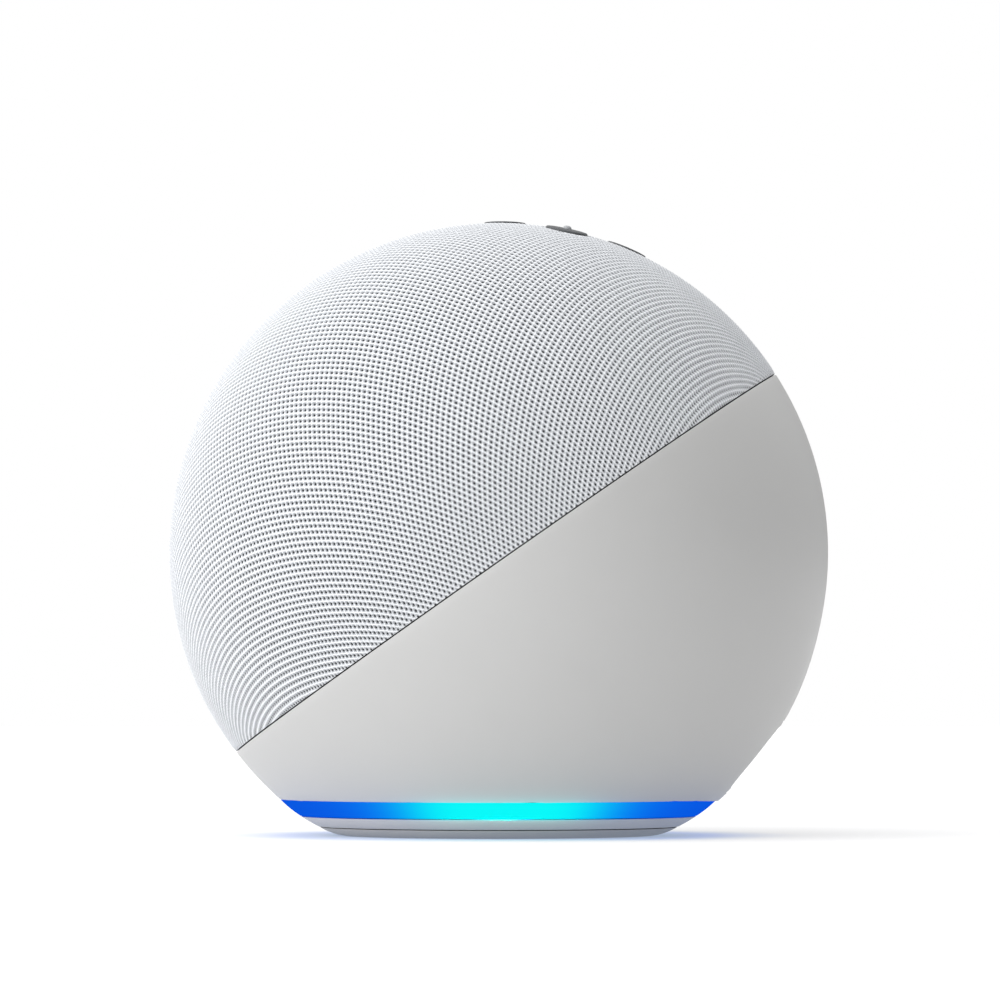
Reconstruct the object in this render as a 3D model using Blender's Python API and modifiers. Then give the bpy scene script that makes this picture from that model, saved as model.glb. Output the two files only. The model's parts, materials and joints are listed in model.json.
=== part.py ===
"""Smart speaker: a ball cut flat at its foot, with a tilted fabric dome and a satin rear shell.

Sizes are in millimetres, and MM turns them into Blender's metres. The origin is under the middle of
the foot, on the table, and the front is -Y. Three kinds of frame share the ball's centre: the dome's,
whose Z is the fabric's pole, the button deck's, whose Z runs through the middle of the four buttons,
and one for each button and tweeter, whose Z is the line it moves along. In a frame, a height is
counted along its Z from the ball's centre.
"""

import math

import bmesh
import bpy
from mathutils import Matrix

MM = 0.001
GAP = 0.3  # left between pieces that touch

# The ball and its seam
BALL_R = 72.0
BALL_Z = 61.8  # the centre's height over the table
DOME_TILT = 35.0  # degrees that the fabric's pole leans to the front
SEAM_H = -2.85  # the seam's height in the dome's frame: the fabric is a little over half the ball
SEAM_GAP = 0.4
FABRIC_T = 0.8
GRILLE_T = 1.8
SHELL_T = 2.2
GRILLE_OUT = BALL_R - FABRIC_T - GAP
GRILLE_IN = GRILLE_OUT - GRILLE_T
SHELL_IN = BALL_R - SHELL_T
DOME_SIDES, DOME_STEPS = 36, 8

# The foot, from the table up
FOOT_R, FOOT_FLAT_R, FOOT_IN_R, FOOT_T = 39.0, 33.8, 26.2, 1.8
HOUSING_BOTTOM, HOUSING_TOP = 2.0, 4.15
HOUSING_BOTTOM_R = 39.4  # its side runs straight from the ball at its top to the foot
RING_BOTTOM, RING_TOP, RING_IN_R = 4.35, 7.6, 39.5
SHELL_BOTTOM = 7.85
RING_SIDES = 40
INSERT_R, INSERT_BORE_R, INSERT_TOP = 5.0, 3.175, 9.0  # the bore is that of a 1/4 inch tripod screw
BASE_SCREW_R = 32.0  # distance of the four base screws from the middle
LIGHT_BOARD_BOTTOM = 8.3
MAIN_BOARD_BOTTOM, MAIN_BOARD_TOP, MAIN_BOARD_R = 11.0, 12.6, 41.0

# The socket recess, low on the back
RECESS_HALF_X = 12.2
RECESS_BOTTOM, RECESS_TOP = 10.7, 23.5
RECESS_BACK = 47.5  # its floor's distance behind the middle
RECESS_WALL = 1.8
RECESS_ROUND = 5.0
POWER_X, AUDIO_X = 5.2, -5.6
POWER_Z, AUDIO_Z = 17.6, 16.2

# Buttons
DECK_TILT = -12.0  # the button deck leans to the back
VOLUME_SPREAD, SIDE_SPREAD = 10.9, 7.6  # degrees from the deck's axis to the buttons'
BUTTON_R, BUTTON_PROUD = 4.6, 0.45
BUTTON_TOP = BALL_R + BUTTON_PROUD
SWITCH_R = 12.5  # distance of the switches from the deck's axis
BUTTONS = {
    "volume_down": (VOLUME_SPREAD, 0.0),
    "volume_up": (-VOLUME_SPREAD, 0.0),
    "action": (0.0, SIDE_SPREAD),
    "mute": (0.0, -SIDE_SPREAD),
}

# Loudspeakers
CHAMBER_R, CHAMBER_T, CHAMBER_TOP, CHAMBER_FLOOR = 42.5, 2.2, 36.0, -20.0
DECK_TOP, DECK_BOTTOM, DECK_R = -4.5, -7.0, 68.9
CHASSIS_SCREW_R = 60.0
CHASSIS_SCREW_ANGLES = (-8.0, 55.0, 125.0, 188.0)
WOOFER_SCREW_R = 38.6
QUARTERS = (45.0, 135.0, 225.0, 315.0)
TWEETER_TURN = 60.0  # degrees that each tweeter faces away from the front
TWEETERS = {"left": -TWEETER_TURN, "right": TWEETER_TURN}
POD_R, POD_IN_R, POD_TOP, POD_FLOOR = 15.5, 13.4, 57.0, 46.0


# ---------------------------------------------------------------- scene, frames and finishes

for old in list(bpy.data.objects):
    bpy.data.objects.remove(old)

PARTS = bpy.data.collections.new("smart_speaker")
CUTTERS = bpy.data.collections.new("cutters")
for group in (PARTS, CUTTERS):
    bpy.context.scene.collection.children.link(group)


def finish(name, colour, roughness, metallic=0.0):
    """A Principled material. colour is sRGB hex."""
    made = bpy.data.materials.new(name)
    made.use_nodes = True
    shader = made.node_tree.nodes["Principled BSDF"]
    channels = [int(colour[i : i + 2], 16) / 255 for i in (0, 2, 4)]
    linear = [c / 12.92 if c <= 0.04045 else ((c + 0.055) / 1.055) ** 2.4 for c in channels]
    shader.inputs["Base Color"].default_value = (*linear, 1.0)
    shader.inputs["Roughness"].default_value = roughness
    shader.inputs["Metallic"].default_value = metallic
    return made


KNIT = finish("white_knit", "E6E8EA", 0.9)
SATIN = finish("satin_white_plastic", "DCDCDB", 0.45)
BAND = finish("warm_grey_plastic", "CFCDCA", 0.5)
DIFFUSER = finish("blue_lit_diffuser", "18A8F0", 0.3)
FOOT_RUBBER = finish("grey_rubber", "BDBBB8", 0.8)
BUTTON_GREY = finish("grey_button_plastic", "77797C", 0.45)
BLACK = finish("black_plastic", "18191B", 0.5)
BLACK_RUBBER = finish("black_rubber", "101012", 0.8)
GREEN_BOARD = finish("green_circuit_board", "1E5B3A", 0.4)
STEEL = finish("zinc_plated_steel", "C3C5C8", 0.3, 1.0)
TIN = finish("tinned_sheet", "B9BBBD", 0.25, 1.0)
ALUMINIUM = finish("cast_aluminium", "A8AAAD", 0.4, 1.0)
BRASS = finish("brass", "C9A557", 0.3, 1.0)
MAGNET = finish("nickel_plated_magnet", "8F9092", 0.3, 1.0)
PAPER = finish("pressed_paper", "26262A", 0.9)
SPIDER_CLOTH = finish("ochre_spider_cloth", "B98A3E", 0.9)
COPPER = finish("copper_winding", "B5672F", 0.35, 1.0)
SILK = finish("coated_silk", "2E2E32", 0.6)
CABLE = finish("white_cable", "E2E2E0", 0.5)


def frame(name, tilt, turn=0.0, roll=0.0, parent=None):
    """An empty on the ball's centre, or on its parent's, tilted about X, then rolled about Y and turned."""
    made = bpy.data.objects.new(name, None)
    PARTS.objects.link(made)
    if parent:
        made.parent = parent
    else:
        made.location = (0.0, 0.0, BALL_Z * MM)
    made.rotation_euler = (math.radians(tilt), math.radians(roll), math.radians(turn))
    return made


DOME = frame("dome_frame", DOME_TILT)
DECK = frame("button_deck_frame", DECK_TILT)


# ---------------------------------------------------------------- shapes


def place(name, mesh, look, parent):
    """Links an object. One with no finish is a cutter, which isn't part of the model."""
    made = bpy.data.objects.new(name, mesh)
    made.parent = parent
    if look:
        mesh.materials.append(look)
        PARTS.objects.link(made)
    else:
        made.hide_render = True
        made.display_type = "WIRE"
        CUTTERS.objects.link(made)
    return made


def mesh_of(name, shape):
    bmesh.ops.recalc_face_normals(shape, faces=shape.faces)
    mesh = bpy.data.meshes.new(name)
    shape.to_mesh(mesh)
    shape.free()
    return mesh


def turned(name, profile, look=None, parent=None, sides=24, ring=True):
    """A turned piece. Its profile's (radius, height) points run down the outer side and back up.

    A ring's profile closes on itself, and any other starts and ends on the axis."""
    mesh = bpy.data.meshes.new(name)
    points = [(radius * MM, 0.0, height * MM) for radius, height in profile]
    edges = [(i, i + 1) for i in range(len(points) - 1)]
    if ring:
        edges.append((len(points) - 1, 0))
    mesh.from_pydata(points, edges, [])
    made = place(name, mesh, look, parent)
    screw = made.modifiers.new("turn", "SCREW")
    screw.steps = screw.render_steps = sides
    screw.use_merge_vertices = True
    screw.merge_threshold = 0.01 * MM
    screw.use_smooth_shade = True
    return made


def cylinders(name, radius, low, high, spots=((0.0, 0.0),), look=None, parent=None, sides=20):
    """Upright cylinders at the (x, y) spots of one frame."""
    shape = bmesh.new()
    for x, y in spots:
        made = bmesh.ops.create_cone(
            shape, cap_ends=True, segments=sides, radius1=radius * MM, radius2=radius * MM,
            depth=(high - low) * MM,
        )
        bmesh.ops.translate(shape, verts=made["verts"], vec=(x * MM, y * MM, (low + high) / 2 * MM))
    return place(name, mesh_of(name, shape), look, parent)


def blocks(name, boxes, look=None, parent=None):
    """Boxes between pairs of (x, y, z) corners."""
    shape = bmesh.new()
    for low, high in boxes:
        made = bmesh.ops.create_cube(shape, size=1.0)
        size = [(b - a) * MM for a, b in zip(low, high)]
        middle = [(a + b) / 2 * MM for a, b in zip(low, high)]
        bmesh.ops.scale(shape, verts=made["verts"], vec=size)
        bmesh.ops.translate(shape, verts=made["verts"], vec=middle)
    return place(name, mesh_of(name, shape), look, parent)


def ball(name, radius, parent=None):
    shape = bmesh.new()
    bmesh.ops.create_uvsphere(shape, u_segments=DOME_SIDES, v_segments=DOME_SIDES // 2, radius=radius * MM)
    return place(name, mesh_of(name, shape), None, parent)


def boolean(target, other, operation):
    step = target.modifiers.new(f"{operation.lower()} {other.name}", "BOOLEAN")
    step.operation = operation
    step.solver = "EXACT"
    step.object = other


def cut(target, *others):
    for other in others:
        boolean(target, other, "DIFFERENCE")


def join(target, *others):
    for other in others:
        boolean(target, other, "UNION")


def spots_at(radius, angles):
    return [
        (radius * math.cos(math.radians(angle)), radius * math.sin(math.radians(angle)))
        for angle in angles
    ]


def arc(radius, start, stop, steps, centre=(0.0, 0.0)):
    """(radius, height) points of a circle from start to stop, in degrees above its equator."""
    angles = [math.radians(start + (stop - start) * i / steps) for i in range(steps + 1)]
    return [(centre[0] + radius * math.cos(a), centre[1] + radius * math.sin(a)) for a in angles]


def on_axis(profile):
    """The profile with its first and last points put exactly on the axis."""
    return [(0.0, profile[0][1]), *profile[1:-1], (0.0, profile[-1][1])]


def latitude(radius, height):
    return math.degrees(math.asin(height / radius))


def ball_edge(low, high, steps):
    """(radius, height over the table) points on the ball, from high down to low."""
    heights = [high + (low - high) * i / steps for i in range(steps + 1)]
    return [(math.sqrt(BALL_R**2 - (h - BALL_Z) ** 2), h) for h in heights]


# ---------------------------------------------------------------- buttons

BUTTON_FRAMES = {
    name: frame(f"{name}_axis", tilt, roll=roll, parent=DECK) for name, (tilt, roll) in BUTTONS.items()
}


def button_holes(radius):
    """One cutter along each button's axis."""
    return [
        cylinders(f"{name}_hole_{radius}", radius, GRILLE_IN - 6, BALL_R + 4, parent=axis, sides=20)
        for name, axis in BUTTON_FRAMES.items()
    ]


def button_caps():
    flange_top, flange_bottom = GRILLE_IN - 1.1, GRILLE_IN - 1.9
    for name, axis in BUTTON_FRAMES.items():
        dot = [(0.0, BUTTON_TOP + 0.7), (0.55, BUTTON_TOP + 0.5), (0.85, BUTTON_TOP - 0.02)]
        crown = dot if name == "action" else [(0.0, BUTTON_TOP)]
        profile = [
            *crown,
            (BUTTON_R - 1.2, BUTTON_TOP - 0.05),
            (BUTTON_R - 0.25, BUTTON_TOP - 0.3),
            (BUTTON_R, BUTTON_TOP - 0.65),
            (BUTTON_R, flange_top),
            (BUTTON_R + 1.0, flange_top),
            (BUTTON_R + 1.0, flange_bottom),
            (1.2, flange_bottom),
            (1.2, flange_bottom - 0.3),
            (0.0, flange_bottom - 0.3),
        ]
        turned(f"{name}_button", profile, BUTTON_GREY, axis, sides=20, ring=False)


def button_deck():
    """The board with its microphones, the frame over it and the four tactile switches."""
    board_bottom, board_top, board_r = 60.4, 61.6, 19.0
    board = cylinders(
        "button_board", board_r, board_bottom, board_top, look=GREEN_BOARD, parent=DECK, sides=32
    )
    microphones = blocks(
        "microphones",
        [((x - 1.2, y - 0.9, board_top - 0.4), (x + 1.2, y + 0.9, board_top + 0.9))
         for x, y in spots_at(7.0, QUARTERS)],
        parent=DECK,
    )
    join(board, microphones)

    plate_bottom, plate_top, plate_r = 63.2, 64.2, 17.6
    profile = [(plate_r, plate_top), (plate_r, board_top + GAP), (plate_r - 1.4, board_top + GAP)]
    profile += [(plate_r - 1.4, plate_bottom), (3.0, plate_bottom), (3.0, plate_top)]
    plate = turned("button_frame", profile, BLACK, DECK, sides=28)
    seats = spots_at(SWITCH_R, (0.0, 90.0, 180.0, 270.0))
    openings = cylinders(
        "switch_openings", 4.0, plate_bottom - 2, plate_top + 2, seats, parent=DECK, sides=12
    )
    cut(plate, openings)

    half, body_top, plunger_top = 2.6, 64.4, 64.8
    for name, (x, y) in zip(("action", "volume_up", "mute", "volume_down"), seats):
        low = (x - half, y - half, board_top + GAP)
        switch = blocks(f"{name}_switch", [(low, (x + half, y + half, body_top))], BLACK, DECK)
        plunger = cylinders(
            f"{name}_plunger", 1.5, body_top - 1, plunger_top, [(x, y)], parent=DECK, sides=10
        )
        join(switch, plunger)


# ---------------------------------------------------------------- shells


def fabric_cover():
    rim = SEAM_H + SEAM_GAP / 2
    inner = BALL_R - FABRIC_T
    outer_side = arc(BALL_R, 90.0, latitude(BALL_R, rim), DOME_STEPS)
    inner_side = arc(inner, latitude(inner, rim), 90.0, DOME_STEPS)
    cover = turned("fabric_cover", on_axis(outer_side + inner_side), KNIT, DOME, DOME_SIDES, ring=False)
    cut(cover, *button_holes(BUTTON_R + 0.3))


def sound_holes():
    """Six-sided holes in rings round the dome's pole, left out where the buttons are."""
    shape = bmesh.new()
    # The deck's axis leans from the pole by both tilts together, towards the dome's +Y.
    lean = math.radians(DOME_TILT - DECK_TILT)
    for polar, count in ((24.0, 5), (46.0, 9), (68.0, 11)):
        for i in range(count):
            polar_angle, turn = math.radians(polar), 2 * math.pi * (i + 0.5) / count
            away = (
                math.sin(polar_angle) * math.cos(turn),
                math.sin(polar_angle) * math.sin(turn),
                math.cos(polar_angle),
            )
            if away[1] * math.sin(lean) + away[2] * math.cos(lean) > math.cos(math.radians(26.0)):
                continue
            made = bmesh.ops.create_cone(
                shape, cap_ends=True, segments=6, radius1=6 * MM, radius2=6 * MM, depth=8 * MM
            )
            bmesh.ops.translate(shape, verts=made["verts"], vec=(0, 0, (GRILLE_IN + 1) * MM))
            for axis, angle in (("Y", polar_angle), ("Z", turn)):
                bmesh.ops.rotate(
                    shape, verts=made["verts"], cent=(0, 0, 0),
                    matrix=Matrix.Rotation(angle, 3, axis),
                )
    return place("sound_holes", mesh_of("sound_holes", shape), None, DOME)


def grille_shell():
    rim = SEAM_H + 0.6
    outer_side = arc(GRILLE_OUT, 90.0, latitude(GRILLE_OUT, rim), DOME_STEPS)
    inner_side = arc(GRILLE_IN, latitude(GRILLE_IN, rim), 90.0, DOME_STEPS)
    shell = turned("grille_shell", on_axis(outer_side + inner_side), BLACK, DOME, DOME_SIDES, ring=False)
    posts = spots_at(17.0, QUARTERS)
    join(shell, cylinders("frame_posts", 1.8, 64.5, 68.2, posts, parent=DECK, sides=10))
    cut(shell, sound_holes(), *button_holes(BUTTON_R + 0.5))


def recess_block(name, half_x, bottom, top, back, rounding):
    """A block that runs out of the back, with rounded edges along Y."""
    shape = bmesh.new()
    bmesh.ops.create_cube(shape, size=1.0)
    front = BALL_R + 15
    bmesh.ops.scale(shape, verts=shape.verts, vec=(2 * half_x * MM, (front - back) * MM, (top - bottom) * MM))
    middle = (0.0, (front + back) / 2 * MM, (top + bottom) / 2 * MM)
    bmesh.ops.translate(shape, verts=shape.verts, vec=middle)
    along = [e for e in shape.edges if abs(e.verts[0].co.y - e.verts[1].co.y) > MM]
    bmesh.ops.bevel(shape, geom=along, offset=rounding * MM, segments=4, profile=0.5, affect="EDGES")
    return place(name, mesh_of(name, shape), None, None)


def rear_shell():
    rim = SEAM_H - SEAM_GAP / 2
    inner_side = arc(SHELL_IN, -90.0, latitude(SHELL_IN, rim), DOME_STEPS)
    outer_side = arc(BALL_R, latitude(BALL_R, rim), -90.0, DOME_STEPS)
    shell = turned("rear_shell", on_axis(inner_side + outer_side), SATIN, DOME, DOME_SIDES, ring=False)

    # Screw posts rise from the wall to the chassis, and the recess's walls stand in from it.
    screws = spots_at(CHASSIS_SCREW_R, CHASSIS_SCREW_ANGLES)
    posts = cylinders("chassis_posts", 3.5, -60.0, DECK_BOTTOM - GAP, screws, parent=DOME, sides=12)
    boolean(posts, ball("inside_the_wall", BALL_R - 1.1, DOME), "INTERSECT")
    walls = recess_block(
        "recess_walls", RECESS_HALF_X + RECESS_WALL, RECESS_BOTTOM - RECESS_WALL, RECESS_TOP + RECESS_WALL,
        RECESS_BACK - RECESS_WALL, RECESS_ROUND + RECESS_WALL,
    )
    boolean(walls, ball("inside_the_shell", BALL_R - 1.1, DOME), "INTERSECT")
    join(shell, posts, walls)

    under = blocks("under_the_shell", [((-80, -80, -20), (80, 80, SHELL_BOTTOM))])
    hollow = recess_block("recess", RECESS_HALF_X, RECESS_BOTTOM, RECESS_TOP, RECESS_BACK, RECESS_ROUND)
    screw_holes = cylinders("chassis_post_holes", 1.7, -19.0, DECK_BOTTOM + 2, screws, parent=DOME, sides=12)
    cut(shell, under, hollow, screw_holes, *jack_holes())


def jack_holes():
    """Round cutters through the recess's floor, lying along Y."""
    found = []
    for name, x, z, radius in (("power", POWER_X, POWER_Z, 4.5), ("audio", AUDIO_X, AUDIO_Z, 3.2)):
        hole = cylinders(f"{name}_opening", radius, -3.0, 3.0, sides=24)
        hole.location = (x * MM, RECESS_BACK * MM, z * MM)
        hole.rotation_euler = (math.radians(-90), 0, 0)
        found.append(hole)
    return found


def seam_gasket():
    outside, inside = GRILLE_IN - 0.4, GRILLE_IN - 3.0
    top, bottom = SEAM_H + 2.2, DECK_TOP + GAP
    turned(
        "seam_gasket", [(outside, top), (outside, bottom), (inside, bottom), (inside, top)],
        BLACK_RUBBER, DOME, DOME_SIDES,
    )


# ---------------------------------------------------------------- foot and electronics


def foot_and_base():
    turned(
        "foot_ring",
        [(FOOT_R, FOOT_T), (FOOT_R - 1.0, 1.25), (FOOT_R - 2.4, 0.55), (FOOT_R - 3.8, 0.15), (FOOT_FLAT_R, 0.0),
         (FOOT_IN_R + 0.8, 0.0), (FOOT_IN_R, 0.5), (FOOT_IN_R, FOOT_T)],
        FOOT_RUBBER, sides=RING_SIDES,
    )
    floor_top, well_bottom, boss_r = 4.0, 1.0, 8.0
    bore = INSERT_R + GAP
    profile = [ball_edge(HOUSING_TOP, HOUSING_TOP, 1)[0], (HOUSING_BOTTOM_R, HOUSING_BOTTOM)]
    profile += [(FOOT_IN_R - GAP, HOUSING_BOTTOM), (FOOT_IN_R - 1.0, well_bottom), (bore, well_bottom)]
    profile += [(bore, INSERT_TOP), (boss_r, INSERT_TOP), (boss_r, floor_top), (RING_IN_R, floor_top)]
    profile += [(RING_IN_R, HOUSING_TOP)]
    housing = turned("base_housing", profile, BAND, sides=RING_SIDES)
    screws = spots_at(BASE_SCREW_R, QUARTERS)
    cut(
        housing,
        cylinders("base_counterbores", 3.1, HOUSING_BOTTOM - 1, 3.3, screws, sides=16),
        cylinders("base_screw_holes", 1.7, HOUSING_BOTTOM - 1, 6.0, screws, sides=12),
    )
    turned(
        "light_ring", ball_edge(RING_BOTTOM, RING_TOP, 3) + [(RING_IN_R, RING_BOTTOM), (RING_IN_R, RING_TOP)],
        DIFFUSER, sides=RING_SIDES,
    )
    lip = 1.3
    turned(
        "tripod_insert",
        [(0.0, INSERT_TOP), (INSERT_R, INSERT_TOP), (INSERT_R, lip), (INSERT_BORE_R, lip),
         (INSERT_BORE_R, INSERT_TOP - 1), (0.0, INSERT_TOP - 1)],
        BRASS, sides=20, ring=False,
    )
    for i, (x, y) in enumerate(screws):
        screw(f"base_screw_{i + 1}", 2.75, 3.1, 2.05, 1.4, 9.8, x, y, None)


def screw(name, head_r, head_inner, head_outer, shank_r, tip, x, y, parent):
    """A screw along Z: its head lies between the first two heights, and its shank reaches tip."""
    profile = [(0.0, tip), (shank_r, tip), (shank_r, head_inner), (head_r, head_inner)]
    profile += [(head_r, head_outer), (0.0, head_outer)]
    if tip < head_outer:
        profile.reverse()
    made = turned(name, profile, STEEL, parent, sides=10, ring=False)
    made.location = (x * MM, y * MM, 0.0)


def electronics():
    screws = spots_at(BASE_SCREW_R, QUARTERS)
    bottom, top = HOUSING_TOP + 0.15, LIGHT_BOARD_BOTTOM - GAP
    carrier = turned(
        "board_carrier", [(37.3, top), (37.3, bottom), (30.0, bottom), (30.0, top)], BLACK, sides=28
    )
    join(carrier, cylinders("board_posts", 3.2, bottom + 1, MAIN_BOARD_BOTTOM - GAP, screws, sides=10))
    cut(carrier, cylinders("board_post_holes", 1.7, bottom - 1, 10.1, screws, sides=12))

    light_top = LIGHT_BOARD_BOTTOM + 1.1
    board = turned(
        "light_board",
        [(44.0, light_top), (44.0, LIGHT_BOARD_BOTTOM), (35.7, LIGHT_BOARD_BOTTOM), (35.7, light_top)],
        GREEN_BOARD, sides=36,
    )
    lamps = spots_at(41.6, [30.0 * i for i in range(12)])
    join(board, cylinders("lamps", 1.2, RING_TOP + 0.2, LIGHT_BOARD_BOTTOM + 0.4, lamps, sides=4))

    main = cylinders(
        "main_board", MAIN_BOARD_R, MAIN_BOARD_BOTTOM, MAIN_BOARD_TOP, look=GREEN_BOARD, sides=36
    )
    seat = MAIN_BOARD_TOP - 0.4
    chips = blocks(
        "chips",
        [
            ((-34, -4, seat), (-24, 8, MAIN_BOARD_TOP + 1.4)),
            ((-8, -34, seat), (4, -26, MAIN_BOARD_TOP + 1.6)),
            ((14, -28, seat), (24, -20, MAIN_BOARD_TOP + 3.0)),
            ((-26, -24, seat), (-16, -16, MAIN_BOARD_TOP + 2.0)),
        ],
    )
    join(main, chips)

    shield_low, shield_top = MAIN_BOARD_TOP + GAP, MAIN_BOARD_TOP + 2.6
    shield = blocks("radio_shield", [((-20, -10, shield_low), (20, 27, shield_top))], TIN)
    cut(shield, blocks("shield_hollow", [((-19.6, -9.6, 0), (19.6, 26.6, shield_top - 0.4))]))
    sink_low, fin_top = shield_top + GAP, 27.0
    sink = blocks("heat_sink", [((-17, -7, sink_low), (17, 25, fin_top))], ALUMINIUM)
    slots = [
        ((-15.4 + 4.8 * i, -20, sink_low + 2.2), (-12.2 + 4.8 * i, 40, fin_top + 2)) for i in range(6)
    ]
    cut(sink, blocks("fin_slots", slots))


def jacks():
    """Both sockets lie along Y on the main board's back edge, with their mouths in the recess."""
    low = MAIN_BOARD_TOP + GAP
    inner = RECESS_BACK - RECESS_WALL - GAP
    mouth = RECESS_BACK + 0.3
    for name, x, z, half, high, length, nose_r, bore_r, depth in (
        ("power_jack", POWER_X, POWER_Z, 4.5, 23.0, 13.5, 4.1, 3.1, 9.5),
        ("audio_jack", AUDIO_X, AUDIO_Z, 3.1, 19.6, 11.5, 2.8, 1.8, 11.0),
    ):
        body = blocks(name, [((x - half, inner - length, low), (x + half, inner, high))], BLACK)
        nose = cylinders(f"{name}_nose", nose_r, -3.0, mouth - inner, sides=24)
        bore = cylinders(f"{name}_bore", bore_r, mouth - inner - depth, 6.0, sides=20)
        tools = [nose, bore]
        if name == "power_jack":
            low_end, tip = mouth - inner - depth - 2, mouth - inner - 1.5
            tools.append(cylinders("power_pin", 1.0, low_end, tip, sides=12))
        for tool in tools:
            tool.location = (x * MM, inner * MM, z * MM)
            tool.rotation_euler = (math.radians(-90), 0, 0)
        join(body, nose)
        cut(body, bore)
        join(body, *tools[2:])


# ---------------------------------------------------------------- loudspeakers

TWEETER_FRAMES = {side: frame(f"tweeter_{side}_axis", 90.0, turn=turn) for side, turn in TWEETERS.items()}


def acoustic_chamber():
    inner = CHAMBER_R - CHAMBER_T
    floor = CHAMBER_FLOOR + CHAMBER_T
    rim_in, rim_bottom = 35.6, 33.0
    profile = [
        (0.0, floor), (35.0, floor), (inner, floor + 4.5), (inner, rim_bottom), (rim_in, rim_bottom),
        (rim_in, CHAMBER_TOP), (CHAMBER_R, CHAMBER_TOP), (CHAMBER_R, DECK_TOP), (DECK_R, DECK_TOP),
        (DECK_R, DECK_BOTTOM), (CHAMBER_R, DECK_BOTTOM), (CHAMBER_R, CHAMBER_FLOOR + 5.0),
        (36.0, CHAMBER_FLOOR), (0.0, CHAMBER_FLOOR),
    ]
    chamber = turned("acoustic_chamber", profile, BLACK, DOME, sides=32, ring=False)
    for side, axis in TWEETER_FRAMES.items():
        join(chamber, cylinders(f"{side}_pod", POD_R, 42.6, POD_TOP, parent=axis, sides=20))
        cut(chamber, cylinders(f"{side}_pod_hollow", POD_IN_R, POD_FLOOR, POD_TOP + 4, parent=axis, sides=20))
    chassis_screws = spots_at(CHASSIS_SCREW_R, CHASSIS_SCREW_ANGLES)
    cut(
        chamber,
        cylinders("deck_holes", 1.7, DECK_BOTTOM - 3, DECK_TOP + 3, chassis_screws, parent=DOME, sides=12),
        blocks("ribbon_slot", [((-20, 46, DECK_BOTTOM - 3), (-8, 54, DECK_TOP + 3))], parent=DOME),
        woofer_screw_holes("chamber_screw_holes"),
    )
    for i, (x, y) in enumerate(chassis_screws):
        screw(f"chassis_screw_{i + 1}", 2.8, DECK_TOP + GAP, DECK_TOP + 2.0, 1.4, -16.5, x, y, DOME)


def woofer_screw_holes(name):
    return cylinders(name, 1.6, 30.0, 44.0, spots_at(WOOFER_SCREW_R, QUARTERS), parent=DOME, sides=12)


def woofer():
    gasket_low = CHAMBER_TOP + 0.2
    flange_low, flange_top = 37.2, 38.7
    gasket = turned(
        "woofer_gasket",
        [(41.0, flange_low - 0.2), (41.0, gasket_low), (36.0, gasket_low), (36.0, flange_low - 0.2)],
        BLACK_RUBBER, DOME, sides=28,
    )
    basket = turned(
        "woofer_basket",
        [(41.0, flange_top), (41.0, flange_low), (35.2, flange_low), (23.2, 18.0), (22.4, 17.0), (13.0, 17.0),
         (13.0, 18.4), (21.6, 18.4), (34.0, flange_top)],
        BLACK, DOME, sides=30,
    )
    shape = bmesh.new()
    for i in range(6):
        made = bmesh.ops.create_cube(shape, size=1.0)
        bmesh.ops.scale(shape, verts=made["verts"], vec=(16 * MM, 13 * MM, 12 * MM))
        bmesh.ops.translate(shape, verts=made["verts"], vec=(29 * MM, 0, 28 * MM))
        bmesh.ops.rotate(
            shape, verts=made["verts"], cent=(0, 0, 0), matrix=Matrix.Rotation(i * math.pi / 3, 3, "Z")
        )
    windows = place("basket_windows", mesh_of("basket_windows", shape), None, DOME)
    cut(basket, windows, woofer_screw_holes("basket_screw_holes"))
    cut(gasket, woofer_screw_holes("gasket_screw_holes"))
    for i, (x, y) in enumerate(spots_at(WOOFER_SCREW_R, QUARTERS)):
        screw(f"woofer_screw_{i + 1}", 2.3, flange_top + 0.2, flange_top + 1.5, 1.3, 33.4, x, y, DOME)

    turned(
        "woofer_yoke", [(0.0, 16.6), (9.5, 16.6), (9.5, 4.5), (19.0, 4.5), (19.0, 2.0), (0.0, 2.0)],
        STEEL, DOME, ring=False,
    )
    turned("woofer_magnet", [(19.5, 13.2), (19.5, 4.8), (13.0, 4.8), (13.0, 13.2)], MAGNET, DOME)
    turned("woofer_top_plate", [(20.5, 16.7), (20.5, 13.5), (11.8, 13.5), (11.8, 16.7)], STEEL, DOME)
    turned("voice_coil", [(11.0, 23.7), (11.0, 9.0), (10.3, 9.0), (10.3, 23.7)], COPPER, DOME)
    turned(
        "woofer_cone",
        [(30.2, 38.7), (30.2, 38.0), (20.5, 31.9), (11.5, 24.0), (11.5, 24.9), (20.5, 32.7)],
        PAPER, DOME, sides=28,
    )
    cap_r = 24.0  # a shallow cap of a ball this big
    cap_middle, cap_edge = 29.4 - cap_r, math.degrees(math.acos(12.2 / cap_r))
    outer_side = arc(cap_r, 90.0, cap_edge, 3, (0.0, cap_middle))
    inner_side = arc(cap_r - 0.5, cap_edge, 90.0, 3, (0.0, cap_middle))
    turned("dust_cap", on_axis(outer_side + inner_side), PAPER, DOME, sides=20, ring=False)

    roll = (32.4, 39.25)
    turned(
        "woofer_surround",
        [(36.0, 39.5), (36.0, 39.0), *arc(2.15, 0.0, 180.0, 3, roll), (28.6, 39.0), (28.6, 39.5),
         *arc(2.65, 180.0, 0.0, 3, roll)],
        BLACK_RUBBER, DOME, sides=28,
    )
    inner, outer, waves = 11.3, 23.2, 5
    upper = [
        (inner + (outer - inner) * i / waves, 21.9 + (0.45 if i % 2 else -0.45)) for i in range(waves + 1)
    ]
    lower = [(radius, height - 0.45) for radius, height in reversed(upper)]
    turned("woofer_spider", lower + upper, SPIDER_CLOTH, DOME)


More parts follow.
